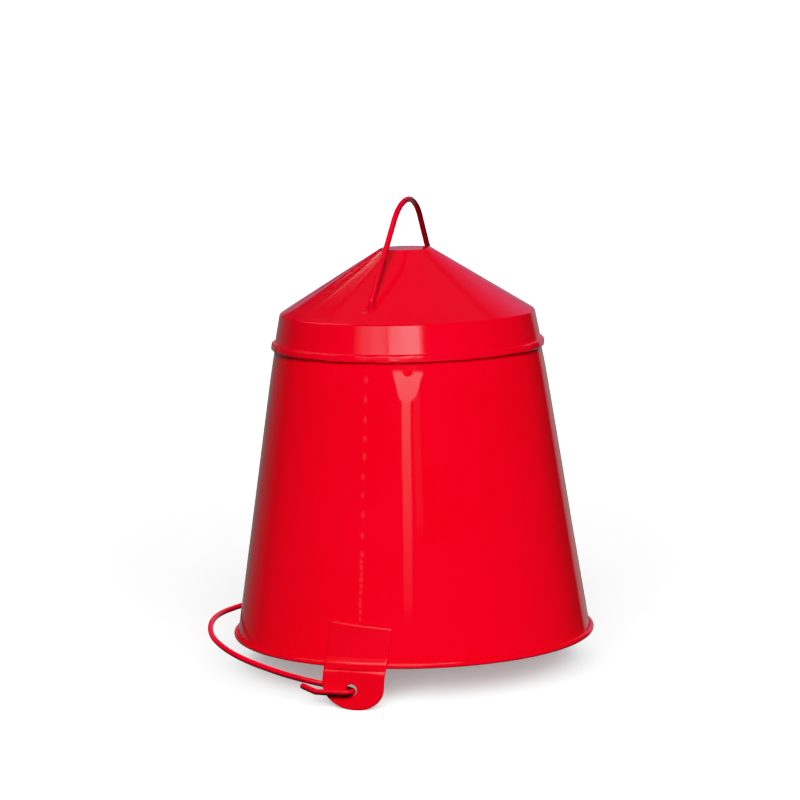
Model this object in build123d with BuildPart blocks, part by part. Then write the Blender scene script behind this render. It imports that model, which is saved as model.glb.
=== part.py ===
from build123d import *
import os
from math import acos, atan2, cos, radians, sin

os.makedirs("parts", exist_ok=True)

# Fire bucket with a cone-shaped bottom, in millimetres. It stands mouth down: the mouth's plane is Z = 0,
# the cone points along +Z, and the Z axis is the bucket's own axis. The two ears stand at -Y and +Y.

# ---- Driving dimensions ----
sheet = 0.75             # steel sheet of the wall and the cone
fit_gap = 0.05           # left between sheets that lie against each other

rim_radius = 150.0       # outside of the rolled edge
rim_wire_radius = 1.6    # wire inside the rolled edge
mouth_radius = 147.0     # outside of the wall, carried down to the mouth's plane
seam_radius = 110.3      # outside of the wall at seam_level
seam_level = 240.0

seam_bottom = 237.0      # double seam between the wall and the cone
seam_top = 244.5
lap_degrees = 4.0        # width of the wall's lapped joint, seen from the axis
lap_turn = 2.0           # the joint stands this far round from the front ear, towards +X

shoulder_radius = 105.2  # where the cone's skirt turns into the cone
shoulder_height = 267.7
shoulder_round = 3.0
tip_radius = 21.3        # flat tip of the cone
tip_height = 320.0

ear_sheet = 2.0
ear_width = 52.0
ear_top = 34.0           # top of the patch that lies on the wall
ear_bottom = -33.5       # rounded end of the tab below the mouth
ear_end_rise = 20.0      # height of the tab's half-elliptical end
ear_corner = 2.0         # corners of the patch
front_ear_lean = 5.0     # the front ear is welded on a little askew, in degrees, its top towards +X
front_ear_shift = 1.0    # and its hole isn't quite in its middle
ear_flat_top = -6.0      # the tab is flat below this height
hole_radius = 4.5
hole_height = -17.1

bail_wire_radius = 2.4
bail_drop = 1.5          # the bail hangs this far below the middle of the ears' holes
bail_tilt = 8.5          # the bail lies on the -X side, raised this much towards the rim, in degrees
bail_leg = 27.0          # straight part of the bail, from the pivot line to its arch
bail_hook_round = 4.55   # the hook's bends, on the wire's centre line
hook_offset = 4.6        # inner leg and outer leg to each side of the tab's middle
hook_length = 28.0       # outer leg, from the pivot line to where it turns in behind the tab's edge
hook_sag = 4.8           # the outer leg's far end stands this far below the bail's plane
hook_end_reach = 42.0    # cut end of the wire
hook_end_sag = 3.4
hook_end_gap = 5.0       # cut end outward from the inner leg, centre to centre
hook_end_round = 8.0

grip_wire_radius = 2.4
grip_foot_radius = 85.0  # where the grip's ends go into the cone, from the axis
grip_knee_rise = 3.6     # height over the cone of the bend above each end
grip_knee_round = 5.0
grip_peak = 359.8        # centre line at the top of the grip
grip_round = 43.0        # arc over the top
grip_lean = 1.2          # the grip leans towards +X by this angle, in degrees
grip_stub = 5.0          # end left inside the cone
grip_hole_gap = 0.25     # round the end in the cone's hole
weld_radius = 5.5        # weld round each end, inside the cone
weld_height = 3.0
weld_gap = 0.15          # between the weld and the cone's curved inner face

# ---- Values worked out from them ----
taper = (mouth_radius - seam_radius) / seam_level
bead_radius = rim_wire_radius + fit_gap + sheet
bead_centre = (rim_radius - bead_radius, bead_radius)
cone_slope = (tip_height - shoulder_height) / (shoulder_radius - tip_radius)
pivot_height = hole_height - bail_drop
tab_inside = rim_radius + 0.1
tab_middle = tab_inside + ear_sheet / 2


def on_wall(height, out=0.0):
    """A point at this height, measured outwards from the wall's outer face."""
    return (mouth_radius - taper * height + out, height)


def on_cone(radius, out=0.0):
    """A point at this radius, measured upwards from the cone's outer face."""
    return (radius, shoulder_height + cone_slope * (shoulder_radius - radius) + out)


def save(piece, name):
    piece.part.label = name
    export_step(piece.part, f"parts/{name}.step")


# ---- Wall: tapered sheet, rolled edge at the mouth, flange of the double seam at the cone ----
flange_inner = sheet + 2 * fit_gap
flange_outer = 2 * sheet + 2 * fit_gap
flange_top = seam_top - sheet - fit_gap
flange_end = seam_bottom + sheet + 4 * fit_gap

with BuildPart() as body_wall:
    with BuildSketch(Plane.XZ) as wall_section:
        with BuildLine():
            Polyline(
                on_wall(bead_radius, -sheet),
                on_wall(flange_top, -sheet),
                on_wall(flange_top, flange_outer),
                on_wall(flange_end, flange_outer),
                on_wall(flange_end, flange_inner),
                on_wall(flange_top - sheet, flange_inner),
                on_wall(flange_top - sheet),
                on_wall(bead_radius),
                close=True,
            )
        make_face()
        with Locations(bead_centre):
            Circle(bead_radius)
            Circle(rim_wire_radius + fit_gap, mode=Mode.SUBTRACT)
        # The raw edge of the sheet stops just short of the wall, on top of the rolled edge.
        with Locations((bead_centre[0], bead_centre[1] + bead_radius)):
            Rectangle(0.3, 2.6 * sheet, mode=Mode.SUBTRACT)
    revolve(axis=Axis.Z)
    # The wall is rolled from one blank, and its ends lap: a second thickness inside, along the joint.
    lap_start = -90 + lap_turn - lap_degrees / 2
    lap_plane = Plane(
        origin=(0, 0, 0),
        x_dir=(cos(radians(lap_start)), sin(radians(lap_start)), 0),
        z_dir=(sin(radians(lap_start)), -cos(radians(lap_start)), 0),
    )
    with BuildSketch(lap_plane) as lap_section:
        with BuildLine():
            Polyline(
                on_wall(2 * bead_radius, -2 * sheet),
                on_wall(flange_top, -2 * sheet),
                on_wall(flange_top, -sheet / 2),
                on_wall(2 * bead_radius, -sheet / 2),
                close=True,
            )
        make_face()
    revolve(axis=Axis.Z, revolution_arc=lap_degrees)
save(body_wall, "body_wall")

# ---- Wire inside the rolled edge ----
with BuildPart() as rim_wire:
    with BuildSketch(Plane.XZ) as rim_wire_section:
        with Locations(bead_centre):
            Circle(rim_wire_radius)
    revolve(axis=Axis.Z)
save(rim_wire, "rim_wire")

# ---- Grip's centre line: an arc, two straight legs, and two ends bent down through the cone ----
foot_level = on_cone(grip_foot_radius)[1]
knee = (grip_foot_radius, grip_knee_rise)
stub_end = (grip_foot_radius, -sheet - grip_stub)
grip_plane = Plane(
    origin=(0, 0, foot_level),
    x_dir=(0, 1, 0),
    z_dir=(cos(radians(grip_lean)), 0, -sin(radians(grip_lean))),
)
peak = (grip_peak - foot_level) / cos(radians(grip_lean))
arc_level = peak - grip_round
knee_below = arc_level - grip_knee_rise
knee_distance = (grip_foot_radius ** 2 + knee_below ** 2) ** 0.5
turn = atan2(-knee_below, grip_foot_radius) + acos(grip_round / knee_distance)
touch = (grip_round * cos(turn), arc_level + grip_round * sin(turn))


def grip_leg(side):
    """Corners of one leg, from its end inside the cone up to the arc."""
    return [(side * x, y) for x, y in (stub_end, knee, touch)]


def leg_plane(side):
    """Plane across a leg's end where it goes through the cone, facing along it into the bucket."""
    centre = grip_plane.from_local_coords((side * grip_foot_radius, 0, 0))
    return Plane(origin=centre, z_dir=-grip_plane.y_dir)


def weld_plane(side):
    """Plane against the cone's inner face round a leg, facing into the bucket."""
    inward = Vector(0, -side * cone_slope, -1).normalized()
    centre = Vector(0, side * grip_foot_radius, foot_level) + inward * (sheet + weld_gap)
    return Plane(origin=centre, z_dir=inward)


# ---- Cone-shaped bottom: flat tip, cone, short skirt, and the hem that closes the double seam ----
cone_sheet = sheet * (1 + cone_slope ** 2) ** 0.5
hem_inner = flange_outer + fit_gap
hem_outer = hem_inner + sheet

with BuildPart() as cone_bottom:
    with BuildSketch(Plane.XZ) as cone_section:
        with BuildLine():
            Polyline(
                (0, tip_height),
                (tip_radius, tip_height),
                on_cone(shoulder_radius),
                on_wall(seam_top),
                on_wall(seam_top, hem_outer),
                on_wall(seam_bottom, hem_outer),
                on_wall(seam_bottom, fit_gap),
                on_wall(flange_top - sheet - fit_gap, fit_gap),
                on_wall(flange_top - sheet - fit_gap, fit_gap + sheet),
                on_wall(seam_bottom + sheet, fit_gap + sheet),
                on_wall(seam_bottom + sheet, hem_inner),
                on_wall(seam_top - sheet, hem_inner),
                on_wall(seam_top - sheet, -sheet),
                (shoulder_radius - sheet, on_cone(shoulder_radius - sheet, -cone_sheet)[1]),
                (tip_radius, tip_height - cone_sheet),
                (0, tip_height - cone_sheet),
                close=True,
            )
        make_face()
        corners = cone_section.vertices()
        shoulder = [v for v in corners if abs(v.Z - shoulder_height) < 2 and v.X > shoulder_radius - 2]
        fillet(shoulder, shoulder_round)
        bead_edge = [v for v in cone_section.vertices() if v.X > on_wall(v.Z, hem_inner)[0] + fit_gap]
        fillet(bead_edge, 1.2 * sheet)
    revolve(axis=Axis.Z)
    for side in (-1, 1):
        with Locations(leg_plane(side)):
            Cylinder(grip_wire_radius + grip_hole_gap, 2 * grip_stub, mode=Mode.SUBTRACT)
save(cone_bottom, "cone_bottom")

# ---- Grip across the cone ----
with BuildPart() as bottom_handle:
    with BuildLine(grip_plane) as grip_line:
        FilletPolyline(*grip_leg(-1), radius=grip_knee_round)
        ThreePointArc((-touch[0], touch[1]), (0, peak), touch)
        FilletPolyline(*reversed(grip_leg(1)), radius=grip_knee_round)
    with BuildSketch(Plane(origin=grip_line.wire() @ 0, z_dir=grip_line.wire() % 0)):
        Circle(grip_wire_radius)
    sweep(path=grip_line.wire())
    for side in (-1, 1):
        with Locations(weld_plane(side)):
            Cone(weld_radius, grip_wire_radius, weld_height, align=(Align.CENTER, Align.CENTER, Align.MIN))
save(bottom_handle, "bottom_handle")


# ---- Ears: a patch on the wall, a lip round the rolled edge, and a flat tab with the bail's hole ----
def make_ear(name, lean, shift, turned):
    """One ear, made at -Y with its outline leaning about the hole, then turned round the Z axis."""
    bend_outer = bead_radius + fit_gap + ear_sheet
    with BuildPart() as ear:
        with BuildSketch(Plane.XZ) as ear_section:
            with BuildLine():
                Polyline(
                    on_wall(bead_centre[1], fit_gap),
                    on_wall(ear_top + ear_width, fit_gap),
                    on_wall(ear_top + ear_width, fit_gap + ear_sheet),
                    on_wall(bead_centre[1], fit_gap + ear_sheet),
                    close=True,
                )
            make_face()
            with Locations(bead_centre):
                Circle(bend_outer)
            with BuildLine():
                Polyline(
                    (0, -bend_outer),
                    (tab_inside, -bend_outer),
                    (tab_inside, bead_centre[1]),
                    on_wall(bead_centre[1], fit_gap),
                    on_wall(ear_top + ear_width, fit_gap),
                    (0, ear_top + ear_width),
                    close=True,
                )
            make_face(mode=Mode.SUBTRACT)
            with Locations(bead_centre):
                Circle(bead_radius + fit_gap, mode=Mode.SUBTRACT)
            with Locations((tab_middle, -bend_outer)):
                Rectangle(3 * bend_outer, 2 * (bend_outer + bead_centre[1]), mode=Mode.SUBTRACT)
        revolve(axis=Axis.Z)
        with BuildSketch(Plane.XY.offset(bead_centre[1])) as bent:
            Circle(tab_inside + ear_sheet)
            Circle(tab_inside, mode=Mode.SUBTRACT)
            with Locations((0, -tab_middle)):
                Rectangle(1.3 * ear_width, ear_width / 2, mode=Mode.INTERSECT)
        with BuildSketch(Plane.XY.offset(ear_flat_top)) as flat:
            with Locations((0, -tab_middle)):
                Rectangle(1.3 * ear_width, ear_sheet)
        loft()
        with BuildSketch(Plane.XY.offset(ear_flat_top)):
            with Locations((0, -tab_middle)):
                Rectangle(1.3 * ear_width, ear_sheet)
        extrude(amount=2 * ear_bottom)
        outline_plane = Plane(
            origin=(0, 0, hole_height),
            x_dir=(cos(radians(lean)), 0, -sin(radians(lean))),
            z_dir=(0, -1, 0),
        )
        with BuildSketch(outline_plane) as outline:
            end_centre = ear_bottom - hole_height + ear_end_rise
            with Locations((shift, end_centre)):
                Ellipse(ear_width / 2, ear_end_rise)
            top = ear_top - hole_height
            with Locations((shift, (top + end_centre) / 2)):
                Rectangle(ear_width, top - end_centre)
            fillet(outline.vertices().group_by(Axis.Z)[-1], ear_corner)
        extrude(amount=2 * rim_radius, mode=Mode.INTERSECT)
        with Locations(Plane(origin=(0, -tab_middle, hole_height), z_dir=(0, -1, 0))):
            Cylinder(hole_radius, 4 * ear_sheet, mode=Mode.SUBTRACT)
    ear.part = Rotation(0, 0, turned) * ear.part
    save(ear, name)


make_ear("front_ear", front_ear_lean, front_ear_shift, 0)
make_ear("rear_ear", 0, 0, 180)

# ---- Bail: a half-circle arch, straight legs inside the tabs, and a hook out through each hole ----
bail_plane = Plane(
    origin=(0, 0, pivot_height),
    x_dir=(0, -1, 0),
    z_dir=(-sin(radians(bail_tilt)), 0, -cos(radians(bail_tilt))),
)
inner_leg = tab_middle - hook_offset
outer_leg = tab_middle + hook_offset


def hook_points(side):
    """The hook's corners at one ear, from the cut end of the wire to the foot of the arch."""
    return (
        (side * (inner_leg + hook_end_gap), hook_end_reach, hook_end_sag),
        (side * outer_leg, hook_length, hook_sag),
        (side * outer_leg, 0, 0),
        (side * inner_leg, 0, 0),
        (side * inner_leg, bail_leg, 0),
    )


hook_rounds = [hook_end_round, bail_hook_round, bail_hook_round]

with BuildPart() as bail:
    with BuildLine(bail_plane) as bail_line:
        FilletPolyline(*hook_points(1), radius=hook_rounds)
        ThreePointArc((inner_leg, bail_leg), (0, bail_leg + inner_leg), (-inner_leg, bail_leg))
        FilletPolyline(*hook_points(-1), radius=hook_rounds)
    with BuildSketch(Plane(origin=bail_line.wire() @ 0, z_dir=bail_line.wire() % 0)):
        Circle(bail_wire_radius)
    sweep(path=bail_line.wire())
save(bail, "bail")
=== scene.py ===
import random
from math import acos, atan2, ceil, cos, degrees, exp, hypot, pi, radians, sin, sqrt, tan

import bmesh
import bpy
from mathutils import Matrix, Vector, noise
from mathutils.geometry import delaunay_2d_cdt


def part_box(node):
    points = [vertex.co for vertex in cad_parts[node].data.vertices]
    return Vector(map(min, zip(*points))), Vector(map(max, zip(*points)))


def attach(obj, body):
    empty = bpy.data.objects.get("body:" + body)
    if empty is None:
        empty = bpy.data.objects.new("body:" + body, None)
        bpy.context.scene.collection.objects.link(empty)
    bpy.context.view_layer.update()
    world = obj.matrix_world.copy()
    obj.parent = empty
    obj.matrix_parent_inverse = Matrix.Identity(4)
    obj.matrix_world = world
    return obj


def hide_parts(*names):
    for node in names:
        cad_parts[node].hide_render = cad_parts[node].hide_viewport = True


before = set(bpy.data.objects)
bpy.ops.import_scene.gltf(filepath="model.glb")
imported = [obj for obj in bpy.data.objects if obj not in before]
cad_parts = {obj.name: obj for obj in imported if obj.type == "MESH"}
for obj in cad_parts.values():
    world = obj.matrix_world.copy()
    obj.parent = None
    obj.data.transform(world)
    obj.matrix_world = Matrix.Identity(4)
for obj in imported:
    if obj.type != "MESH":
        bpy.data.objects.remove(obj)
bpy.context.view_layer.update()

# A fire bucket standing mouth down, its cone-shaped bottom on top. Lengths are in millimetres in the frame's
# axes and become metres when a mesh is made. Azimuths are in degrees from -Y, where the front ear is, to +X.
MM = 0.001

# ---- Sizes, the same as the frame's ----
SHEET = 0.75
GAP = 0.05
RIM_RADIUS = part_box("body_wall")[1].x / MM
WIRE_IN_RIM = (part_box("rim_wire")[1].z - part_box("rim_wire")[0].z) / MM / 2
BEAD = WIRE_IN_RIM + GAP + SHEET
BEAD_R, BEAD_Z = RIM_RADIUS - BEAD, BEAD
MOUTH_RADIUS = 147.0
SEAM_RADIUS, SEAM_Z = 110.3, 240
TAPER = (MOUTH_RADIUS - SEAM_RADIUS) / SEAM_Z
SEAM_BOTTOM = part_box("cone_bottom")[0].z / MM
SEAM_TOP = 244.5
FLANGE_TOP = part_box("body_wall")[1].z / MM
SHOULDER_R, SHOULDER_Z, SHOULDER_ROUND = 105.2, 267.7, 3.0
TIP_R = 21.3
TIP_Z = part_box("cone_bottom")[1].z / MM
CONE_SLOPE = (TIP_Z - SHOULDER_Z) / (SHOULDER_R - TIP_R)
EAR_SHEET, EAR_WIDTH, EAR_TOP, EAR_END_RISE = 2.0, 52.0, 34.0, 20.0
EAR_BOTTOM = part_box("rear_ear")[0].z / MM
EAR_FLAT_TOP = -6.0
HOLE_R, HOLE_Z = 4.5, -17.1
WALL_MIDDLE_R = 130
TAB_INSIDE = RIM_RADIUS + 0.1
TAB_MIDDLE = TAB_INSIDE + EAR_SHEET / 2
LAP_WIDTH, LAP_MIDDLE = 4.0, 2.0    # degrees
GRIP_FOOT, GRIP_KNEE_RISE, GRIP_KNEE_ROUND = 85.0, 3.6, 5.0
GRIP_PEAK, GRIP_ROUND, GRIP_LEAN, GRIP_STUB = 359.8, 43.0, 1.2, 5.0
WIRE = 2.4


def on_wall(z, out=0.0):
    return MOUTH_RADIUS - TAPER * z + out, z


def on_cone(r, out=0.0):
    return r, SHOULDER_Z + CONE_SLOPE * (SHOULDER_R - r) + out


# ---- Small helpers for shapes ----
def smooth(x, a, b):
    t = min(max((x - a) / (b - a), 0.0), 1.0)
    return t * t * (3 - 2 * t)


def bump(x, width):
    return exp(-0.5 * (x / width) ** 2)


def turned_by(azimuth, start):
    """Degrees from start to this azimuth, the short way round."""
    return (azimuth - start + 180) % 360 - 180


def line(p, q, step):
    """Points from p up to, but not with, q, no further apart than step."""
    n = max(1, ceil(hypot(q[0] - p[0], q[1] - p[1]) / step))
    return [(p[0] + (q[0] - p[0]) * i / n, p[1] + (q[1] - p[1]) * i / n) for i in range(n)]


def arc(centre, r, start, end, n):
    """Points on an arc, both ends included, with its angles in degrees."""
    turns = [radians(start + (end - start) * i / n) for i in range(n + 1)]
    return [(centre[0] + r * cos(a), centre[1] + r * sin(a)) for a in turns]


def path_2d(corners, step, n=6):
    """A run through corners (x, y, rounding), as points no further apart than step."""
    pts = []
    here = corners[0][:2]
    for i in range(1, len(corners) - 1):
        a, b, c = (Vector(corners[k][:2]) for k in (i - 1, i, i + 1))
        rounding = corners[i][2]
        into, out = (b - a).normalized(), (c - b).normalized()
        turn = into.angle_signed(out)
        if rounding == 0 or abs(turn) < 0.01:
            pts += line(here, tuple(b), step)
            here = tuple(b)
            continue
        cut = rounding * tan(abs(turn) / 2)
        start, end = b - into * cut, b + out * cut
        pts += line(here, tuple(start), step)
        for k in range(n):
            t = k / n
            p = start * (1 - t) ** 2 + b * 2 * t * (1 - t) + end * t ** 2
            pts.append(tuple(p))
        here = tuple(end)
    pts += line(here, corners[-1][:2], step)
    pts.append(tuple(corners[-1][:2]))
    return pts


def mesh_object(name, points, faces, material, sharp=50):
    mesh = bpy.data.meshes.new(name)
    mesh.from_pydata([Vector(p) * MM for p in points], [], faces)
    bm = bmesh.new()
    bm.from_mesh(mesh)
    bmesh.ops.recalc_face_normals(bm, faces=bm.faces)
    bm.to_mesh(mesh)
    bm.free()
    mesh.shade_smooth()
    mesh.set_sharp_from_angle(angle=radians(sharp))
    mesh.materials.append(material)
    piece = bpy.data.objects.new(name, mesh)
    bpy.context.scene.collection.objects.link(piece)
    return piece


def place(azimuth, r, z):
    a = radians(azimuth)
    return r * sin(a), -r * cos(a), z


def lathe(name, section, azimuths, shape, material, closed=True, sharp=50):
    """A section of (r, z, kind) points swept round the axis; shape(azimuth, r, z, kind) moves each point."""
    points, rings, poles = [], [], {}
    for azimuth in azimuths:
        ring = []
        for i, (r, z, kind) in enumerate(section):
            if r < 1e-6:
                if i not in poles:
                    poles[i] = len(points)
                    points.append((0, 0, z))
                ring.append(poles[i])
                continue
            ring.append(len(points))
            points.append(place(azimuth, *shape(azimuth, r, z, kind)))
        rings.append(ring)
    faces = []
    count = len(section)
    for j, ring in enumerate(rings):
        after = rings[(j + 1) % len(rings)]
        for i in range(count if closed else count - 1):
            k = (i + 1) % count
            corners = [ring[i], ring[k], after[k], after[i]]
            face = [c for n, c in enumerate(corners) if c not in corners[:n]]
            if len(face) > 2:
                faces.append(face)
    return mesh_object(name, points, faces, material, sharp)


def azimuth_steps(coarse, fine_spans):
    """Azimuths all the way round, closer together inside each (from, to, step) span."""
    steps = [-180 + coarse * i for i in range(round(360 / coarse))]
    for low, high, step in fine_spans:
        steps = [s for s in steps if not low - coarse * 0.4 < s < high + coarse * 0.4]
        n = round((high - low) / step)
        steps += [low + (high - low) * i / n for i in range(n + 1)]
    return sorted(steps)


def tube(name, line_points, radius, material, sides=20, end_round=0.8):
    """A round wire along the points, with cut ends whose edges are slightly rounded."""
    pts = [Vector(p) for p in line_points]
    tangents = []
    for i in range(len(pts)):
        a, b = pts[max(i - 1, 0)], pts[min(i + 1, len(pts) - 1)]
        tangents.append((b - a).normalized())
    side = tangents[0].orthogonal().normalized()
    frames = []
    for i, t in enumerate(tangents):
        if i:
            turn = tangents[i - 1].rotation_difference(t)
            side = (turn @ side).normalized()
        frames.append((t, side, t.cross(side)))
    rings = []
    for a in (0, pi / 6, pi / 3):
        t, u, v = frames[0]
        rings.append((pts[0] + t * end_round * (1 - cos(a)), u, v, radius - end_round * (1 - sin(a))))
    travelled = 0.0
    total = sum((pts[i + 1] - pts[i]).length for i in range(len(pts) - 1))
    for i in range(len(pts)):
        if i:
            travelled += (pts[i] - pts[i - 1]).length
        if end_round * 1.2 < travelled < total - end_round * 1.2:
            rings.append((pts[i], frames[i][1], frames[i][2], radius))
    for a in (pi / 3, pi / 6, 0):
        t, u, v = frames[-1]
        rings.append((pts[-1] - t * end_round * (1 - cos(a)), u, v, radius - end_round * (1 - sin(a))))
    points, faces = [], []
    for centre, u, v, r in rings:
        for k in range(sides):
            a = 2 * pi * k / sides
            points.append(centre + u * r * cos(a) + v * r * sin(a))
    for i in range(len(rings) - 1):
        for k in range(sides):
            a, b = i * sides + k, i * sides + (k + 1) % sides
            faces.append([a, b, b + sides, a + sides])
    for base, centre in ((0, pts[0]), ((len(rings) - 1) * sides, pts[-1])):
        middle = len(points)
        points.append(centre)
        for k in range(sides):
            faces.append([middle, base + k, base + (k + 1) % sides])
    return mesh_object(name, points, faces, material)


def fillet_path(corners, rounds, step):
    """3-D run through the corners with circular bends, its bends' points no further apart than step."""
    corners = [Vector(c) for c in corners]
    pts, here = [], corners[0]
    for i in range(1, len(corners) - 1):
        a, b, c = corners[i - 1:i + 2]
        into, out = (b - a).normalized(), (c - b).normalized()
        turn = into.angle(out)
        if turn < 1e-3:
            continue
        r = rounds[i - 1]
        start, end = b - into * r * tan(turn / 2), b + out * r * tan(turn / 2)
        n = max(1, min(40, ceil((start - here).length / step)))
        pts += [here.lerp(start, k / n) for k in range(n)]
        inward = (out - into * into.dot(out)).normalized()
        centre = start + inward * r
        n = max(6, ceil(r * turn / step))
        for k in range(n):
            t = turn * k / n
            pts.append(centre + into * r * sin(t) - inward * r * cos(t))
        here = end
    n = max(1, ceil((corners[-1] - here).length / step))
    pts += [here.lerp(corners[-1], k / n) for k in range(n + 1)]
    return pts


# ---- Materials ----
def new_material(name):
    material = bpy.data.materials.new(name)
    material.use_nodes = True
    tree = material.node_tree
    return material, tree, tree.nodes["Principled BSDF"]


def add(tree, kind, **values):
    """A node with its properties and inputs set; an input's name has underscores for spaces."""
    node = tree.nodes.new(kind)
    for key, value in values.items():
        if key in node.bl_rna.properties:
            setattr(node, key, value)
        else:
            node.inputs[key.replace("_", " ")].default_value = value
    return node


def noise_node(tree, where, scale, detail=2.0, rough=0.5, stretch=(1, 1, 1)):
    mapping = add(tree, "ShaderNodeMapping", Scale=stretch)
    tree.links.new(where, mapping.inputs["Vector"])
    node = add(tree, "ShaderNodeTexNoise", Scale=scale, Detail=detail, Roughness=rough)
    tree.links.new(mapping.outputs["Vector"], node.inputs["Vector"])
    return node.outputs["Fac"]


def ramp_node(tree, source, *stops):
    node = tree.nodes.new("ShaderNodeValToRGB")
    elements = node.color_ramp.elements
    while len(elements) < len(stops):
        elements.new(0.5)
    for element, (position, value) in zip(elements, stops):
        element.position = position
        element.color = value if len(value) == 4 else (*value, 1)
    tree.links.new(source, node.inputs["Fac"])
    return node.outputs["Color"]


def grey(v):
    return (v, v, v, 1)


def mix_colours(tree, factor, a, b):
    node = add(tree, "ShaderNodeMix", data_type="RGBA")
    for value, socket in ((factor, node.inputs["Factor"]), (a, node.inputs[6]), (b, node.inputs[7])):
        if isinstance(value, (tuple, float, int)):
            socket.default_value = value
        else:
            tree.links.new(value, socket)
    return node.outputs[2]


def enamel(name, thin, thick, peel, gloss, worn=0.0):
    """Glossy enamel: colour that varies with the coat's thickness, orange peel, dust nibs and worn spots."""
    material, tree, shader = new_material(name)
    where = add(tree, "ShaderNodeTexCoord").outputs["Object"]
    cloud = noise_node(tree, where, 14, 3, 0.55)
    colour = ramp_node(tree, cloud, (0.32, thin), (0.68, thick))
    nib = noise_node(tree, where, 900, 1, 0.4)
    nib_mask = ramp_node(tree, nib, (0.78, grey(0)), (0.83, grey(1)))
    colour = mix_colours(tree, nib_mask, colour, (*[c * 0.82 for c in thin[:3]], 1))
    if worn:
        rub = noise_node(tree, where, 160, 4, 0.6)
        rub_mask = ramp_node(tree, rub, (0.60, grey(0)), (0.72, grey(worn)))
        colour = mix_colours(tree, rub_mask, colour, (0.42, 0.008, 0.012, 1))
    tree.links.new(colour, shader.inputs["Base Color"])
    smear = noise_node(tree, where, 35, 4, 0.6, (1, 1, 0.35))
    roughness = ramp_node(tree, smear, (0.3, grey(gloss[0])), (0.7, grey(gloss[1])))
    tree.links.new(roughness, shader.inputs["Roughness"])
    coarse = noise_node(tree, where, peel[0], 1.5, 0.5)
    fine = noise_node(tree, where, peel[0] * 4.5, 1, 0.5)
    first = add(tree, "ShaderNodeBump", Strength=1.0, Distance=peel[1])
    second = add(tree, "ShaderNodeBump", Strength=1.0, Distance=peel[1] * 0.12)
    third = add(tree, "ShaderNodeBump", Strength=1.0, Distance=0.00004)
    tree.links.new(coarse, first.inputs["Height"])
    tree.links.new(fine, second.inputs["Height"])
    tree.links.new(nib_mask, third.inputs["Height"])
    tree.links.new(first.outputs["Normal"], second.inputs["Normal"])
    tree.links.new(second.outputs["Normal"], third.inputs["Normal"])
    tree.links.new(third.outputs["Normal"], shader.inputs["Normal"])
    shader.inputs["Specular IOR Level"].default_value = 0.5
    shader.inputs["IOR"].default_value = 1.5
    return material


def repaint(material, mark_name, paint):
    """Mixes another colour in where the mesh carries this mark."""
    tree = material.node_tree
    colour = tree.nodes["Principled BSDF"].inputs["Base Color"]
    coat = colour.links[0].from_socket
    share = add(tree, "ShaderNodeAttribute", attribute_name=mark_name).outputs["Fac"]
    tree.links.new(mix_colours(tree, share, coat, paint), colour)


def wall_enamel():
    """The wall's coat, painted lighter over each spot weld: a painted highlight for the glint on each weld's
    dimple.
    """
    material = enamel("wall_enamel", (0.86, 0.0, 0.007), (0.90, 0.0, 0.010), (130, 0.000012), (0.04, 0.07))
    # Painted highlight: pale pink paint over each spot weld, standing in for the welds' glints.
    repaint(material, "weld", (1.0, 0.018, 0.026, 1))
    return material


def cone_enamel():
    """The cone's coat, with painted shade: dark paint in the gaps round the grip's feet."""
    material = enamel("cone_enamel", (0.84, 0.0, 0.009), (0.89, 0.0, 0.012), (150, 0.000016), (0.09, 0.16))
    # Painted shade: near-black paint in the holes round each grip foot, where shadow falls.
    repaint(material, "gap", (0.06, 0.0, 0.002, 1))
    return material


def ear_enamel():
    return enamel("ear_enamel", (0.82, 0.0, 0.007), (0.89, 0.0, 0.010), (220, 0.00002), (0.20, 0.32), 0.25)


def wire_enamel(name, shade_from, shade_to):
    """Thicker coat on wire, with painted shade that turns it duller and darker towards one end of its Y
    range, in metres.
    """
    material = enamel(name, (0.54, 0.0, 0.008), (0.68, 0.0, 0.014), (260, 0.00003), (0.16, 0.28), worn=0.5)
    tree = material.node_tree
    colour = tree.nodes["Principled BSDF"].inputs["Base Color"]
    bright = colour.links[0].from_socket
    where = add(tree, "ShaderNodeTexCoord").outputs["Object"]
    apart = tree.nodes.new("ShaderNodeSeparateXYZ")
    tree.links.new(where, apart.inputs[0])
    along = add(tree, "ShaderNodeMapRange")
    tree.links.new(apart.outputs["Y"], along.inputs["Value"])
    along.inputs["From Min"].default_value = shade_from
    along.inputs["From Max"].default_value = shade_to
    # Painted shade: the coat is mixed towards dark maroon along Y, as if that end of the wire lay in shadow.
    tree.links.new(mix_colours(tree, along.outputs["Result"], bright, (0.44, 0.0, 0.035, 1)), colour)
    return material


def drawn_steel():
    """Grey drawn wire with fine lines along it and a few rust-brown spots."""
    material, tree, shader = new_material("drawn_steel")
    where = add(tree, "ShaderNodeTexCoord").outputs["Object"]
    lines = noise_node(tree, where, 900, 2, 0.5, (0.05, 0.05, 1))
    colour = ramp_node(tree, lines, (0.3, (0.34, 0.34, 0.35)), (0.7, (0.56, 0.56, 0.57)))
    rust = ramp_node(tree, noise_node(tree, where, 120, 4, 0.6), (0.62, grey(0)), (0.70, grey(1)))
    colour = mix_colours(tree, rust, colour, (0.20, 0.08, 0.03, 1))
    tree.links.new(colour, shader.inputs["Base Color"])
    tree.links.new(ramp_node(tree, lines, (0.2, grey(0.3)), (0.8, grey(0.5))), shader.inputs["Roughness"])
    shader.inputs["Metallic"].default_value = 1.0
    return material


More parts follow.
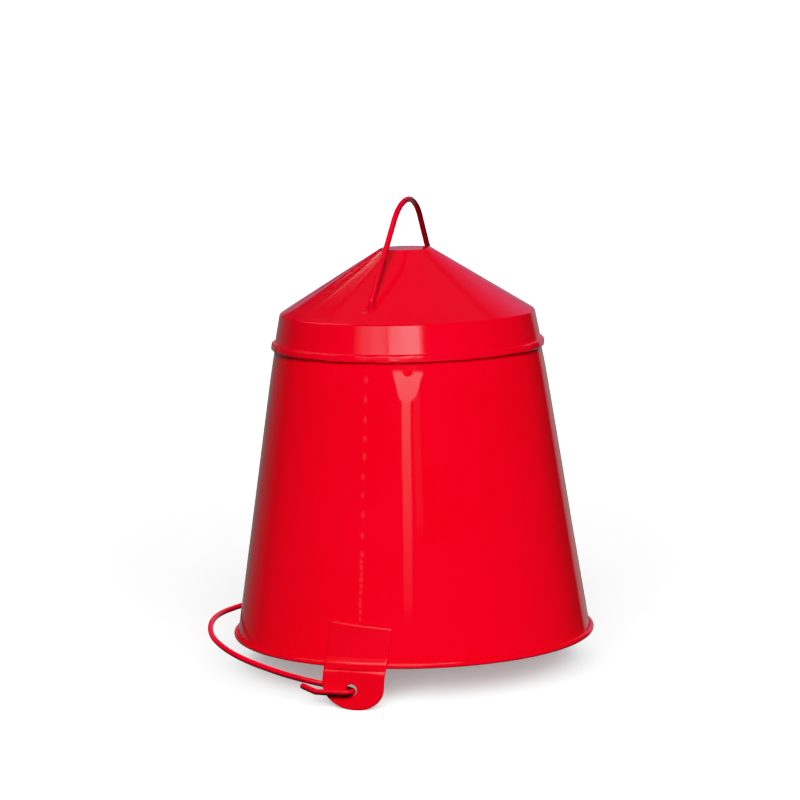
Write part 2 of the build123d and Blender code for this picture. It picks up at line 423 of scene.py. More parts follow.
def pale_floor():
    """White board, partly lit from below, so shadows on it stay light."""
    material, tree, shader = new_material("pale_board")
    where = add(tree, "ShaderNodeTexCoord").outputs["Object"]
    cloud = noise_node(tree, where, 3, 3, 0.5)
    tree.links.new(ramp_node(tree, cloud, (0.3, grey(0.89)), (0.7, grey(0.91))), shader.inputs["Base Color"])
    shader.inputs["Roughness"].default_value = 0.9
    shader.inputs["Specular IOR Level"].default_value = 0.1
    shader.inputs["Emission Color"].default_value = (0.98, 1.0, 1.0, 1)
    shader.inputs["Emission Strength"].default_value = FLOOR_GLOW
    return material


# ---- Wall ----
SPOTS = random.Random(11)


def seam_spots():
    """Heights of the spot welds down the lapped joint: spread out above, close together near the mouth."""
    spots, z = [], 225.0
    while z > 38:
        tall = SPOTS.uniform(1.2, 1.9) if z > 95 else SPOTS.uniform(0.8, 1.3)
        spots.append((z, SPOTS.uniform(-0.4, 0.4), SPOTS.uniform(0.7, 1.0), tall))
        z -= SPOTS.uniform(14, 17) if z > 95 else SPOTS.uniform(4.2, 6.4)
    return spots


WELDS = seam_spots()
# Azimuth in degrees, then height, spread along, spread up and height of each dent or bulge.
DENTS = [
    (-4.0, 221, 2.4, 2.4, -0.32),
    (32.3, 217, 2.2, 3.0, 0.34),
    (19.2, 227, 1.8, 2.2, 0.22),
    (24.0, 212, 2.4, 9, 0.06),
    (-13.3, 82, 9, 7, 0.18),
    (62, 150, 16, 22, -0.25),
    (-52, 120, 20, 26, -0.3),
    (120, 90, 18, 16, -0.35),
    (-140, 160, 14, 20, -0.3),
    (171, 60, 22, 14, 0.25),
]
PINCH_FROM, PINCH_DEPTH, PINCH_MIDDLE, PINCH_SPREAD = 205.0, 2.0, 22, 32
HEM_BOTTOM = SEAM_BOTTOM + 1.5
HEM_MIDDLE = 241


def joint_azimuth(z):
    """Where the line of spot welds runs, in degrees."""
    return LAP_MIDDLE + 0.15 * noise.noise(Vector((0, 6.6, z / 30)))


def pinch(azimuth, z):
    """How far the wall is drawn in under the seam, most of all at the front, in millimetres."""
    share = 0.25 + 0.75 * bump(turned_by(azimuth, PINCH_MIDDLE), PINCH_SPREAD)
    rise = min(max((z - PINCH_FROM) / (HEM_BOTTOM - PINCH_FROM), 0.0), 1.0)
    under_hem = 1 - smooth(z, HEM_BOTTOM + SHEET + 0.1, HEM_BOTTOM + SHEET + 1.1)
    return PINCH_DEPTH * share * rise ** 2 * under_hem


def ripple(azimuth, z):
    """How far the rolled sheet stands out from a true cone, in millimetres; it is drawn in below the seam."""
    a = radians(azimuth)
    free = smooth(z, 8, 34) * (1 - smooth(z, 222, 238))
    low = noise.noise(Vector((1.5 * cos(a) + 3.1, 1.5 * sin(a), z / 190)))
    mid = noise.noise(Vector((4.0 * cos(a), 4.0 * sin(a) + 7.7, z / 95)))
    out = free * (0.34 * low + 0.07 * mid) - pinch(azimuth, z)
    for where, height, along, up, depth in DENTS:
        x = radians(turned_by(azimuth, where)) * WALL_MIDDLE_R
        if abs(x) < 4 * along and abs(z - height) < 4 * up:
            out += depth * bump(x, along) * bump(z - height, up)
    return out


def joint_marks(azimuth, z):
    """Spot welds and the slight ridge along the lapped joint."""
    x = radians(azimuth - joint_azimuth(z)) * (MOUTH_RADIUS - TAPER * z)
    if abs(x) > 9:
        return 0.0
    fade = smooth(z, 12, 20) * (1 - smooth(z, 232, 236))
    out = -0.05 * bump(x - 2.2, 1.1) + 0.07 * bump(x, 1.6)
    for height, shift, wide, tall in WELDS:
        if abs(z - height) < 6:
            out -= 0.15 * bump(x - shift, wide) * bump(z - height, tall)
    return out * fade


def mark(piece, name, value_at):
    """Stores value_at(azimuth, r, z) at each point of the piece, for its paint."""
    marks = piece.data.attributes.new(name, "FLOAT", "POINT")
    for point, here in zip(piece.data.vertices, marks.data):
        x, y, z = (c / MM for c in point.co)
        here.value = value_at(degrees(atan2(x, -y)), hypot(x, y), z)


def weld_highlight_mark(azimuth, r, z):
    """Full at each spot weld's middle, on the wall's outside only, where the painted highlight goes."""
    if abs(azimuth - LAP_MIDDLE) > LAP_WIDTH or r < on_wall(z, -SHEET / 2)[0] - pinch(azimuth, z):
        return 0.0
    across = radians(azimuth - joint_azimuth(z)) * r
    spots = (bump(across - shift, wide) * bump(z - height, tall) for height, shift, wide, tall in WELDS)
    return min(1.0, sum(spots))


def wall_shape(azimuth, r, z, kind):
    """Moves a point of the wall's section to its place at this azimuth."""
    a = radians(azimuth)
    if kind == "bead":
        swell = 0.05 * noise.noise(Vector((20 * cos(a), 20 * sin(a), 1.7)))
        out = hypot(r - BEAD_R, z - BEAD_Z)
        return r + (r - BEAD_R) / out * swell, z + (z - BEAD_Z) / out * swell
    if kind == "out":
        return r + ripple(azimuth, z) + joint_marks(azimuth, z), z
    if kind == "in":
        lap = abs(azimuth - LAP_MIDDLE) < LAP_WIDTH / 2 and z > 2 * BEAD
        return r + ripple(azimuth, z) - (SHEET if lap else 0), z
    return r, z


def make_wall(material):
    """The wall with its rolled edge below and its flange for the double seam above."""
    inner, outer = SHEET + 2 * GAP, 2 * SHEET + 2 * GAP
    hook_end = HEM_BOTTOM + SHEET + 4 * GAP
    section = [(r, z, "bead") for r, z in arc((BEAD_R, BEAD_Z), BEAD, 115, -216, 44)]
    start = on_wall(section[-1][1], -SHEET)
    section += [(r, z, "in") for r, z in line(start, on_wall(2 * BEAD - 0.05, -SHEET), 1.5)[1:]]
    inside_face = line(on_wall(2 * BEAD + 0.05, -SHEET), on_wall(FLANGE_TOP, -SHEET), 4.0)
    section += [(r, z, "in") for r, z in inside_face]
    section.append((*on_wall(FLANGE_TOP - 0.2, -SHEET), "in"))
    section += [(r, z, "seam") for r, z in (
        on_wall(FLANGE_TOP, -SHEET + 0.2), on_wall(FLANGE_TOP, outer - 0.2), on_wall(FLANGE_TOP - 0.2, outer),
        on_wall(hook_end, outer), on_wall(hook_end, inner), on_wall(FLANGE_TOP - SHEET, inner))]
    curl_top = on_wall(12)
    section += [(r, z, "out") for r, z in line(on_wall(FLANGE_TOP - SHEET), curl_top, 0.8)]
    foot = arc((BEAD_R, BEAD_Z), WIRE_IN_RIM + GAP, 134.1, 477, 24)
    section += [(r, z, "out") for r, z in line(curl_top, foot[0], 1.0)]
    section += [(r, z, "curl") for r, z in foot]
    low, high = LAP_MIDDLE - LAP_WIDTH / 2, LAP_MIDDLE + LAP_WIDTH / 2
    azimuths = azimuth_steps(0.75, [(-1.2, 4.8, 0.12)])
    azimuths = sorted(set(azimuths) | {low - 0.01, low + 0.01, high - 0.01, high + 0.01})
    wall = lathe("wall", section, azimuths, wall_shape, material)
    # Marks where the wall's painted highlight over the spot welds goes.
    mark(wall, "weld", weld_highlight_mark)
    return wall


# ---- Cone, skirt and the hem of the double seam ----
# Azimuth and width in degrees, and height, of the shallow creases from the tip down the cone.
CREASES = [
    (-84, 3.5, -0.35), (-74, 3.0, 0.25), (-62, 3.2, -0.35), (-52, 2.4, 0.28),
    (-43, 3.0, -0.30), (-33, 2.2, 0.22), (-24, 2.5, -0.15), (71, 5, -0.25),
    (96, 4, 0.3), (140, 5, -0.35), (188, 4, 0.3), (235, 4, -0.3),
]


def cone_lift(azimuth, r):
    """How far the cone's sheet stands above a true cone, in millimetres."""
    a = radians(azimuth)
    out = 0.22 * noise.noise(Vector((2.2 * cos(a), 2.2 * sin(a), r / 60)))
    share = smooth(r, TIP_R, 60) * (1 - 0.6 * smooth(r, 90, SHOULDER_R))
    for where, wide, depth in CREASES:
        x = turned_by(azimuth, where)
        if abs(x) < 4 * wide:
            out += depth * share * bump(x, wide)
    out *= 1 - smooth(r, 99, 104)
    for side in (0, 180):
        x = r * sin(radians(azimuth - side))
        y = r * cos(radians(azimuth - side)) - GRIP_FOOT
        if abs(x) < 20 and abs(y) < 20:
            dimple = 0.45 * bump(x, 4.5) * bump(y, 3.5)
            hole = 3.0 * (1 - smooth(hypot(x, y), 3.0, 4.4))
            lip = 0.9 * bump(x, 3.4) * bump(y - 6.0, 1.1)
            swell = 0.20 * bump(x, 9) * bump(y + 6, 6)
            out += lip + swell - dimple - hole
    return out


def gap_shade_mark(azimuth, r, z):
    """Full in the gaps round the grip's feet, where the painted shade goes."""
    across = r * sin(radians(azimuth))
    along = abs(r * cos(radians(azimuth))) - GRIP_FOOT
    return 1 - smooth(hypot(across, along * 0.9), 3.2, 4.5)


def hem_shape(azimuth, r, z, kind):
    """Moves a point of the cone's section to its place at this azimuth; the hem is hammered unevenly."""
    a = radians(azimuth)
    if kind in ("cone", "under"):
        return r, z + cone_lift(azimuth, r)
    if kind == "hem":
        low = noise.noise(Vector((9 * cos(a), 9 * sin(a), 4.2)))
        high = noise.noise(Vector((24 * cos(a), 24 * sin(a), 9.4)))
        share = smooth(r, on_wall(z)[0] + 0.9, on_wall(z)[0] + 2.0)
        upper = 1 if z > HEM_MIDDLE else -1
        tall = noise.noise(Vector((11 * cos(a), 11 * sin(a), 12.3 + upper)))
        return r + share * (0.42 * low + 0.22 * high), z + share * (0.75 * tall + 0.25 * high * upper)
    if kind == "fold":
        return r - pinch(azimuth, HEM_BOTTOM), z
    return r, z


def make_cone(material):
    """The cone with its flat tip, its skirt and the hem folded round the wall's flange."""
    hem_in = 2 * SHEET + 3 * GAP
    hem_out = hem_in + SHEET
    deep = SHEET * sqrt(1 + CONE_SLOPE ** 2)
    skirt_foot = on_wall(SEAM_TOP)
    corners = [
        (TIP_R - 1.5, TIP_Z, 0), (TIP_R, TIP_Z, 1.2), (*on_cone(SHOULDER_R), SHOULDER_ROUND),
        (*skirt_foot, 0.5), (*on_wall(SEAM_TOP, hem_out), 1.5), (*on_wall(HEM_BOTTOM, hem_out), 1.9),
        (*on_wall(HEM_BOTTOM, GAP), 0.1), (*on_wall(HEM_BOTTOM + SHEET, GAP), 0.1),
        (*on_wall(HEM_BOTTOM + SHEET, hem_in), 0.1), (*on_wall(SEAM_TOP - SHEET, hem_in), 0),
    ]
    outside = path_2d(corners, 0.6, 8)
    section = [(0, TIP_Z, "tip"), (TIP_R / 2, TIP_Z, "tip")]
    for r, z in outside:
        if r < TIP_R + 2:
            kind = "tip"
        elif z > SHOULDER_Z - 1:
            kind = "cone"
        elif z < HEM_BOTTOM + SHEET + GAP and r < on_wall(z)[0] + 0.3:
            kind = "fold"
        elif z < SEAM_TOP + 0.6 and r > on_wall(z)[0] + 0.3:
            kind = "hem"
        else:
            kind = "skirt"
        section.append((r, z, kind))
    hidden = [on_wall(SEAM_TOP - SHEET, -SHEET), on_cone(SHOULDER_R - SHEET, -deep)]
    section += [(r, z, "skirt") for r, z in hidden]
    for r, z in line(on_cone(SHOULDER_R - 3, -deep), on_cone(TIP_R + 2, -deep), 3.0):
        section.append((r, z, "under"))
    section += [(TIP_R, TIP_Z - deep, "tip"), (0, TIP_Z - deep, "tip")]
    azimuths = azimuth_steps(0.75, [(-4.2, 4.2, 0.2), (175.8, 179.8, 0.2), (-180, -175.8, 0.2)])
    cone = lathe("cone", section, azimuths, hem_shape, material, closed=False)
    # Marks where the cone's painted shade goes, round the grip's feet.
    mark(cone, "gap", gap_shade_mark)
    return cone


# ---- Ears ----
def lip_section(z):
    """Distance of an ear's inner face from the axis: on the wall, over the rolled edge, then straight."""
    clear = BEAD + GAP
    leave_z = 7.3
    leave_r = on_wall(leave_z, GAP)[0]
    dx, dz = leave_r - BEAD_R, leave_z - BEAD_Z
    touch = atan2(dz, dx) - acos(clear / hypot(dx, dz))
    touch_r, touch_z = BEAD_R + clear * cos(touch), BEAD_Z + clear * sin(touch)
    if z > leave_z:
        return on_wall(z, GAP)[0]
    if z > touch_z:
        return leave_r + (touch_r - leave_r) * (leave_z - z) / (leave_z - touch_z)
    if z > BEAD_Z:
        return BEAD_R + sqrt(clear ** 2 - (z - BEAD_Z) ** 2)
    return BEAD_R + clear + (TAB_INSIDE - BEAD_R - clear) * smooth(BEAD_Z - z, 0, 3)


def ear_outline(lean, shift, inset):
    """Outline of an ear seen from the front, drawn in by inset all round."""
    half = EAR_WIDTH / 2 - inset
    end = EAR_BOTTOM - HOLE_Z + EAR_END_RISE
    top = EAR_TOP - HOLE_Z - inset
    rise = EAR_END_RISE - inset
    corner = 2.0 - inset * 0.9
    round_n, side_n, top_n = 96, 60, 56
    corner_turns = [pi / 2 * k / 8 for k in range(9)]
    pts = []
    for k in range(round_n + 1):
        a = pi + pi * k / round_n
        pts.append((half * cos(a), end + rise * sin(a)))
    pts += [(half, end + (top - corner - end) * k / side_n) for k in range(1, side_n)]
    pts += [(half - corner + corner * cos(a), top - corner + corner * sin(a)) for a in corner_turns]
    pts += [(half - corner - (2 * half - 2 * corner) * k / top_n, top) for k in range(1, top_n)]
    pts += [(-half + corner - corner * sin(a), top - corner + corner * cos(a)) for a in corner_turns]
    pts += [(-half, top - corner - (top - corner - end) * k / side_n) for k in range(1, side_n)]
    c, s = cos(radians(lean)), sin(radians(lean))
    return [(c * (x + shift) + s * y, HOLE_Z - s * (x + shift) + c * y) for x, y in pts]


def hole_outline(inset):
    return [((HOLE_R + inset) * cos(2 * pi * k / 48), HOLE_Z + (HOLE_R + inset) * sin(2 * pi * k / 48))
            for k in range(48)]


def inside(p, ring):
    """Whether the point lies inside the closed ring."""
    hit = False
    for (x0, y0), (x1, y1) in zip(ring, ring[1:] + ring[:1]):
        if (y0 > p[1]) != (y1 > p[1]) and p[0] < x0 + (p[1] - y0) * (x1 - x0) / (y1 - y0):
            hit = not hit
    return hit


def ear_point(x, z, depth):
    """A point of the ear: depth 0 is its inner face, EAR_SHEET its outer face."""
    bent = smooth(z, EAR_FLAT_TOP, BEAD_Z)

    def face(x, z):
        r = lip_section(z)
        round_y = sqrt(r * r - x * x)
        return round_y * bent + TAB_INSIDE * (1 - bent) if z < BEAD_Z else round_y

    h = 0.15
    y = face(x, z)
    slope_x = (face(x + h, z) - face(x - h, z)) / (2 * h)
    slope_z = (face(x, z + h) - face(x, z - h)) / (2 * h)
    normal = Vector((-slope_x, 1, -slope_z)).normalized()
    crease = 0.6 * bump(z + 1.4, 0.7) * (depth / EAR_SHEET)
    return Vector((x, y, z)) + normal * (depth - crease)


def band(ring, after):
    """Four-cornered faces between two closed rings of point numbers."""
    size = len(ring)
    return [[ring[k], ring[(k + 1) % size], after[(k + 1) % size], after[k]] for k in range(size)]


def make_ear(name, lean, shift, side, material):
    """An ear on the -Y side (side -1) or the +Y side (side 1), its outer edges rounded."""
    edge, back_edge = 1.4, 0.5
    quarter = [pi / 2 * k / 4 for k in range(1, 5)]
    outer, hole = ear_outline(lean, shift, edge), hole_outline(edge)
    flat = list(outer) + list(hole)
    n_out, n_hole = len(outer), len(hole)
    rows, z = [], EAR_BOTTOM + 1
    while z < EAR_TOP + 4:
        rows.append(z)
        z += 0.35 if -3 < z < 10 else 0.8
    guard_out, guard_hole = ear_outline(lean, shift, edge + 0.4), hole_outline(edge + 0.4)
    for z in rows:
        x = -36.0
        while x <= 36:
            if inside((x, z), guard_out) and not inside((x, z), guard_hole):
                flat.append((x, z))
            x += 0.8
    edges = [(k, (k + 1) % n_out) for k in range(n_out)]
    edges += [(n_out + k, n_out + (k + 1) % n_hole) for k in range(n_hole)]
    made = delaunay_2d_cdt([Vector(p) for p in flat], edges, [], 0, 1e-6)
    flat_points, triangles = made[0], made[2]
    if len(flat_points) != len(flat):
        raise ValueError("the ear's outline crosses itself")
    keep = []
    for tri in triangles:
        p, q, r = (flat_points[k] for k in tri)
        middle = (p + q + r) / 3
        flat_sliver = abs((q - p).cross(r - p)) < 0.001
        if inside(middle, outer) and not inside(middle, hole) and not flat_sliver:
            keep.append(tri)
    points = [ear_point(p[0], p[1], 0) for p in flat_points]
    points += [ear_point(p[0], p[1], EAR_SHEET) for p in flat_points]
    count = len(flat_points)
    faces = [list(t) for t in keep] + [[k + count for k in reversed(t)] for t in keep]
    levels = [(edge * (1 - sin(a)), back_edge * (1 - cos(a))) for a in quarter]
    levels += [(edge * (1 - sin(a)), EAR_SHEET - edge * (1 - cos(a))) for a in reversed(quarter)]
    borders = ((0, n_out, lambda inset: ear_outline(lean, shift, inset)), (n_out, n_hole, hole_outline))
    for start, size, ring_at in borders:
        before = [start + k for k in range(size)]
        for inset, depth in levels:
            ring = ring_at(inset)
            here = [len(points) + k for k in range(size)]
            points += [ear_point(x, z, depth) for x, z in ring]
            faces += band(before, here)
            before = here
        faces += band(before, [count + start + k for k in range(size)])
    points = [(-side * p.x, side * p.y, p.z) for p in points]
    return mesh_object(name, points, faces, material, 40)


# ---- Bail and grip ----
def bail_line():
    """The bail's middle line: a hook through each ear and a slightly wavy half ring between them."""
    drop, tilt, leg = 1.5, radians(8.5), 27.0
    inner, outer = TAB_MIDDLE - 4.6, TAB_MIDDLE + 4.6
    origin = Vector((0, 0, HOLE_Z - drop))
    along = Vector((0, -1, 0))
    out = Vector((-cos(tilt), 0, sin(tilt)))
    below = Vector((-sin(tilt), 0, -cos(tilt)))

    def at(a, e, n):
        return origin + along * a + out * e + below * n

    def hook(side):
        corners = ((inner + 5.0, 42.0, 3.4), (outer, 28.0, 4.8), (outer, -1.0, 0), (inner, -1.0, 0),
                   (inner, leg, 0))
        return [at(side * a, e, n) for a, e, n in corners]

    bends = (8.0, 4.55, 4.55)
    front, rear = fillet_path(hook(1), bends, 0.8), fillet_path(hook(-1), bends, 0.8)
    arch = []
    n = 260
    for k in range(1, n):
        a = pi * k / n
        free = smooth(a, 0.10, 0.5) * (1 - smooth(a, pi - 0.5, pi - 0.10))
        r = inner + free * 0.5 * noise.noise(Vector((3 * a, 0, 5.5)))
        lift = free * 0.9 * noise.noise(Vector((2.4 * a, 8.8, 0)))
        arch.append(at(r * cos(a), leg + r * sin(a), lift))
    return front + arch + rear[::-1]


def grip_line():
    """The grip's middle line, foot to foot, bent a little by hand."""
    lean = radians(GRIP_LEAN)
    foot_level = on_cone(GRIP_FOOT)[1]
    peak = (GRIP_PEAK - foot_level) / cos(lean)
    arc_level = peak - GRIP_ROUND
    below = arc_level - GRIP_KNEE_RISE
    turn = atan2(-below, GRIP_FOOT) + acos(GRIP_ROUND / hypot(GRIP_FOOT, below))
    touch = (GRIP_ROUND * cos(turn), arc_level + GRIP_ROUND * sin(turn))

    def at(x, y):
        wander = smooth(y, 4, 20)
        uneven = 0.25 * noise.noise(Vector((x / 25, y / 25, 2.5)))
        aside = wander * (1.0 * bump(x + 12, 26) - 1.9 * bump(x - 62, 17) + uneven)
        return Vector((y * sin(lean) + aside, x, foot_level + y * cos(lean)))

    def leg(side):
        foot = (side * GRIP_FOOT, -SHEET - GRIP_STUB, 0)
        knee = (side * GRIP_FOOT, GRIP_KNEE_RISE, GRIP_KNEE_ROUND)
        return path_2d([foot, knee, (side * touch[0], touch[1], 0)], 1.0, 10)

    rear, front = leg(1), leg(-1)
    n = 90
    turns = [turn + (pi - 2 * turn) * k / n for k in range(1, n)]
    top = [(GRIP_ROUND * cos(a), arc_level + GRIP_ROUND * sin(a)) for a in turns]
    return [at(*p) for p in rear + top + front[::-1]]


def make_weld(name, side, material):
    """Weld bead round a grip's end, on the cone's inner face: a lumpy ring that slumps off the wire."""
    inward = Vector((0, -side * CONE_SLOPE, -1)).normalized()
    centre = Vector((0, side * GRIP_FOOT, on_cone(GRIP_FOOT)[1])) + inward * (SHEET + 0.15)
    u = Vector((1, 0, 0))
    v = inward.cross(u)
    rings = [(5.5, 0.0), (5.4, 0.6), (4.9, 1.3), (4.1, 2.0), (3.3, 2.6), (2.6, 3.0), (2.0, 3.0)]
    points, faces, sides = [], [], 28
    for r, h in rings:
        for k in range(sides):
            a = 2 * pi * k / sides
            lump = 1 + 0.08 * noise.noise(Vector((2 * cos(a), 2 * sin(a), 1.3 * side)))
            points.append(centre + u * r * lump * cos(a) + v * r * lump * sin(a) + inward * h * lump)
    for i in range(len(rings) - 1):
        for k in range(sides):
            a, b = i * sides + k, i * sides + (k + 1) % sides
            faces.append([a, b, b + sides, a + sides])
    faces.append(list(range(sides)))
    faces.append([(len(rings) - 1) * sides + k for k in reversed(range(sides))])
    return mesh_object(name, points, faces, material)


# ---- Pieces ----
def build():
    wall_paint, cone_paint, ear_paint = wall_enamel(), cone_enamel(), ear_enamel()
    # Painted shade on both wires: darker towards +Y, the rear ear's side; the grip's rear leg is fully dark.
    bail_paint = wire_enamel("bail_enamel", -0.02, 0.25)
    grip_paint = wire_enamel("grip_enamel", -0.025, 0.03)
    table = [
        (make_wall(wall_paint), "bucket", "body_wall", "red_paint_sheet"),
        (make_cone(cone_paint), "bucket", "cone_bottom", "red_paint_sheet"),
        (make_ear("front_ear_plate", 5.0, 1.0, -1, ear_paint), "bucket", "front_ear", "red_paint_sheet"),
        (make_ear("rear_ear_plate", 0.0, 0.0, 1, ear_paint), "bucket", "rear_ear", "red_paint_sheet"),
        (tube("grip_wire", grip_line(), WIRE, grip_paint), "bucket", "bottom_handle", "red_paint_wire"),
        (tube("bail_wire", bail_line(), WIRE, bail_paint), "bail", "bail", "red_paint_wire"),
    ]
    for side, name in ((-1, "front_grip_weld"), (1, "rear_grip_weld")):
        table.append((make_weld(name, side, grip_paint), "bucket", None, "red_paint_wire"))
    for piece, body, node, slot in table:
        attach(piece, body)
        if node:
            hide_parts(node)
    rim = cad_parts["rim_wire"]
    steel = drawn_steel()
    if not rim.material_slots:
        rim.data.materials.append(steel)
    for rim_slot in rim.material_slots:
        rim_slot.material = steel
    return [row[0] for row in table] + [rim]


# ---- Camera, lights, backdrop ----
VIEW = radians(19.7)             # the camera stands this far round from -Y, towards +X
RIGHT = Vector((cos(VIEW), sin(VIEW), 0))
AWAY = Vector((-sin(VIEW), cos(VIEW), 0))
UP = Vector((0, 0, 1))
FLOOR_GLOW = 0.15


def make_camera():
    """A long lens from the photo's angle; the small roll is the photo's own."""
    pitch, roll = 0.1351, 0.0219
    aside, back, high = -0.0075, 2.5283, 0.5376
    forward = AWAY * cos(pitch) - UP * sin(pitch)
    above = AWAY * sin(pitch) + UP * cos(pitch)
    image_right = RIGHT * cos(roll) - above * sin(roll)
    image_up = RIGHT * sin(roll) + above * cos(roll)
    data = bpy.data.cameras.new("camera")
    data.sensor_width, data.lens = 36.0, 138.9
    data.clip_start, data.clip_end = 0.05, 50
    camera = bpy.data.objects.new("camera", data)
    turned = Matrix((image_right, image_up, -forward)).transposed()
    camera.matrix_world = Matrix.Translation(RIGHT * aside - AWAY * back + UP * high) @ turned.to_4x4()
    bpy.context.scene.collection.objects.link(camera)
    bpy.context.scene.camera = camera


def towards(azimuth, elevation):
    """Direction at this azimuth from the camera, positive to the picture's right, and this elevation."""
    a, e = radians(azimuth), radians(elevation)
    return (-AWAY * cos(a) + RIGHT * sin(a)) * cos(e) + UP * sin(e)


def add_lamp(name, kind, direction, distance, energy, gloss, diffuse, only=None):
    """A lamp that aims at the bucket; only is the collection of pieces that it reaches."""
    data = bpy.data.lights.new(name, kind)
    data.energy = energy
    lamp = bpy.data.objects.new(name, data)
    lamp.rotation_euler = direction.to_track_quat("Z", "Y").to_euler()
    lamp.location = UP * 0.15 + direction * distance
    lamp.visible_camera = False
    lamp.visible_glossy = gloss
    lamp.visible_diffuse = diffuse
    if only:
        lamp.light_linking.receiver_collection = only
    bpy.context.scene.collection.objects.link(lamp)
    return data


def card(name, azimuth, elevation, distance, width, height, radiance, only=None, colour=(1, 1, 1)):
    """A soft box that shows as a reflection, if wanted only in some pieces."""
    energy = 4 * radiance * width * height
    data = add_lamp(name, "AREA", towards(azimuth, elevation), distance, energy, True, False, only)
    data.shape, data.size, data.size_y, data.color = "RECTANGLE", width, height, colour


def sky(name, azimuth, elevation, strength, spread, only=None):
    """Broad soft light from one side, even over the whole floor."""
    data = add_lamp(name, "SUN", towards(azimuth, elevation), 3, strength, False, True, only)
    data.angle = radians(spread)


def box_light(name, left, right, low, high, radiance, only, colour=(1, 1, 1)):
    """A soft box 2.6 m away that fills this span of azimuths and elevations."""
    distance = 2.6
    width = 2 * distance * tan(radians((right - left) / 2))
    height = 2 * distance * tan(radians((high - low) / 2))
    card(name, (left + right) / 2, (low + high) / 2, distance, width, height, radiance, only, colour)


def make_lights(pieces, floor):
    """Suns for shading and boxes for reflections, each for the group of pieces that it belongs to."""
    def group(*names):
        collection = bpy.data.collections.new("_".join(names))
        for piece in pieces:
            if piece.name.startswith(names):
                collection.objects.link(piece)
        return collection

    sheet, shell, wires = group("wall", "cone", "front", "rear"), group("wall", "cone"), group("bail", "grip")
    wall, cone, ears = group("wall"), group("cone"), group("front", "rear")
    bail, grip = group("bail"), group("grip")
    floor_only = bpy.data.collections.new("floor_only")
    floor_only.objects.link(floor)

    # Name, azimuth, elevation, strength, spread, pieces.
    sky("key", 3, 36, 2.4, 26, shell)
    sky("ear_key", 3, 36, 2.8, 26, ears)
    sky("bail_key", -20, 64, 3.6, 16, bail)
    sky("grip_key", -14, 44, 3.5, 16, grip)
    sky("floor_light", 2, 27, 7.0, 50, floor_only)
    sky("under_fill", 3, -30, 0.8, 60, shell)
    sky("back_fill", 178, 16, 1.5, 50, sheet)
    sky("wire_back_fill", 178, 16, 0.8, 50, wires)

    # The wall's reflection: a strip that fades downwards, and a window that widens upwards.
    warm = (1.0, 0.86, 0.80)
    steps = 8
    strip_low, window_low, window_high = 3.2, 12, 22
    strip_rise, window_rise = (window_low - strip_low) / steps, (window_high - window_low) / steps
    for k in range(steps):
        share = (k + 1) / steps
        left, right, low = -6.3 + 0.3 * share, -1.2 + 2.4 * share, strip_low + strip_rise * k
        box_light("wall_strip", left, right, low, low + strip_rise, 0.08 + 0.87 * share ** 1.5, wall, warm)
    box_light("wall_strip_side", 3, 8, 6, 15, 0.07, wall, warm)
    for k in range(steps):
        share = (k + 1) / steps
        left, right, low = -6 - 6 * share ** 0.6, 1.2 + 9.8 * share ** 0.8, window_low + window_rise * k
        box_light("wall_window", left, right, low, low + window_rise, 1.05 + 0.3 * share, wall, warm)
    # Name, left, right, low, high, radiance, pieces.
    box_light("bead_line", -22, 22, 36, 74, 1.0, wall, warm)
    box_light("bead_line_side", -85, -22, 36, 74, 0.35, wall, warm)

    # The skirt's reflection: the panes of one window, left to right, as left, right and radiance.
    panes = ((-46, -41, 0.22), (-41, -31, 0.50), (-31, -19, 0.75), (-16, -4, 1.6), (-4, 9.5, 2.0),
             (9.5, 12.5, 0.6))
    for left, right, radiance in panes:
        box_light("window", left, right, 13, 29, radiance, cone)
    card("left_high", -105, 46, 2.5, 1.2, 1.6, 0.35, cone)
    box_light("back_spot", -157.5, -154.5, 34, 38, 0.8, cone)
    box_light("back_spot_high", -153.5, -151.5, 42, 45, 0.5, cone)
    box_light("overhead", 150, 210, 55, 85, 0.04, cone, (0.75, 0.75, 1.0))
    box_light("ear_edge", -40, 35, 35, 68, 1.3, ears, warm)
    box_light("wire_glint", -40, -5, 50, 62, 2.2, wires)


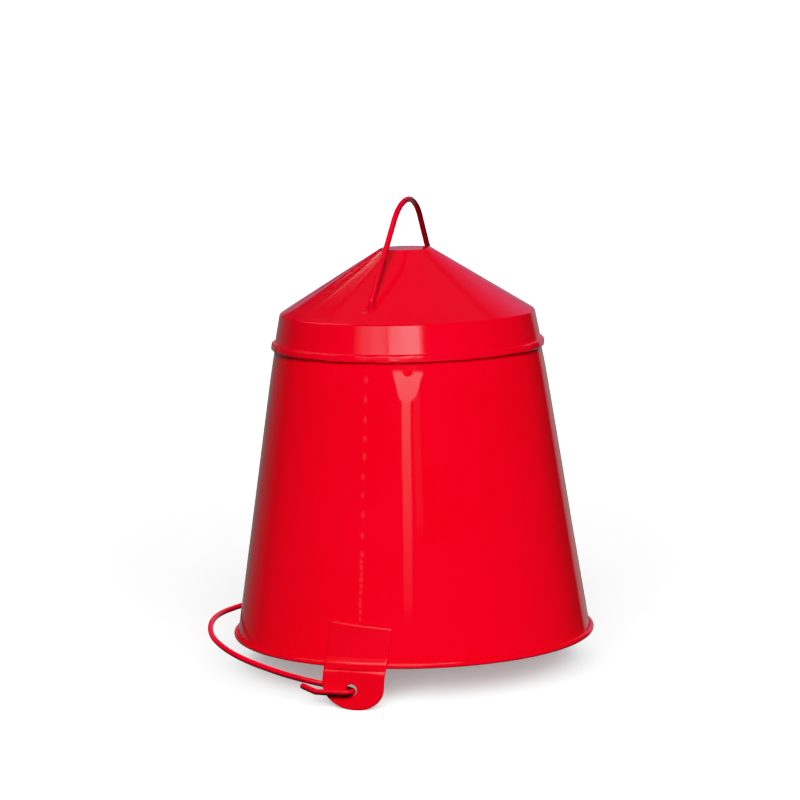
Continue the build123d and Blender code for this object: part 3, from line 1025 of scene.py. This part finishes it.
def make_world():
    """A dark studio that is lighter behind the bucket; the camera itself sees plain white."""
    world = bpy.data.worlds.new("studio")
    bpy.context.scene.world = world
    world.use_nodes = True
    tree = world.node_tree
    tree.nodes.clear()
    out = tree.nodes.new("ShaderNodeOutputWorld")
    direction = add(tree, "ShaderNodeTexCoord").outputs["Generated"]

    def along(axis):
        dot = add(tree, "ShaderNodeVectorMath", operation="DOT_PRODUCT")
        tree.links.new(direction, dot.inputs[0])
        dot.inputs[1].default_value = axis
        half = add(tree, "ShaderNodeMath", operation="MULTIPLY_ADD")
        tree.links.new(dot.outputs["Value"], half.inputs[0])
        half.inputs[1].default_value = 0.5
        half.inputs[2].default_value = 0.5
        return half.outputs[0]

    def multiply(a, b):
        node = add(tree, "ShaderNodeMix", data_type="RGBA", blend_type="MULTIPLY")
        node.inputs["Factor"].default_value = 1
        tree.links.new(a, node.inputs[6])
        tree.links.new(b, node.inputs[7])
        return node.outputs[2]

    behind = ramp_node(tree, along(AWAY), (0.0, grey(0.008)), (0.76, grey(0.010)), (0.86, grey(0.045)),
                       (0.93, grey(0.085)), (1.0, grey(0.16)))
    right_side = ramp_node(tree, along(RIGHT), (0.0, grey(0)), (0.755, grey(0)), (0.785, grey(1)))
    near_right = ramp_node(tree, along(RIGHT), (0.60, grey(0)), (0.68, grey(0.10)))
    brighter = add(tree, "ShaderNodeMix", data_type="RGBA", blend_type="ADD")
    brighter.inputs["Factor"].default_value = 1
    tree.links.new(behind, brighter.inputs[6])
    far_back = ramp_node(tree, along(AWAY), (0.80, grey(0)), (0.90, grey(1)))
    tree.links.new(multiply(near_right, far_back), brighter.inputs[7])
    colour = mix_colours(tree, right_side, brighter.outputs[2], grey(0.008))
    left = ramp_node(tree, along(RIGHT), (0.47, grey(1)), (0.53, grey(0)))
    high = ramp_node(tree, along(UP), (0.575, grey(0)), (0.61, grey(1)))
    colour = mix_colours(tree, multiply(left, high), colour, grey(0.006))
    tint = ramp_node(tree, along(UP), (0.50, (1, 1, 1)), (0.57, (0.80, 0.75, 1.3)), (0.75, (0.55, 0.5, 1.3)),
                     (0.90, (0.3, 0.3, 0.5)))
    seen = add(tree, "ShaderNodeBackground", Strength=1.0, Color=(1.1, 1.1, 1.1, 1))
    lit = add(tree, "ShaderNodeBackground", Strength=1.0)
    tree.links.new(multiply(colour, tint), lit.inputs["Color"])
    ray = tree.nodes.new("ShaderNodeLightPath")
    mix = tree.nodes.new("ShaderNodeMixShader")
    tree.links.new(ray.outputs["Is Camera Ray"], mix.inputs["Fac"])
    tree.links.new(lit.outputs[0], mix.inputs[1])
    tree.links.new(seen.outputs[0], mix.inputs[2])
    tree.links.new(mix.outputs[0], out.inputs["Surface"])


def film_response():
    """A photograph's response: dark tones lifted, bright ones rolled off before white."""
    settings = bpy.context.scene.view_settings
    settings.view_transform = "Standard"
    settings.use_curve_mapping = True
    curve = settings.curve_mapping.curves[3]
    for x, y in ((0.10, 0.175), (0.28, 0.45), (0.44, 0.70), (0.58, 0.82), (0.72, 0.90)):
        curve.points.new(x, y)
    settings.curve_mapping.update()


def make_floor():
    """A pale board at the ears' lowest point."""
    size = 3000
    corners = [(x * size, y * size, EAR_BOTTOM) for x, y in ((-1, -1), (1, -1), (1, 1), (-1, 1))]
    floor = mesh_object("floor", corners, [[0, 1, 2, 3]], pale_floor())
    floor.visible_diffuse = False
    floor.visible_glossy = False
    return floor


film_response()
make_camera()
make_world()
make_lights(build(), make_floor())
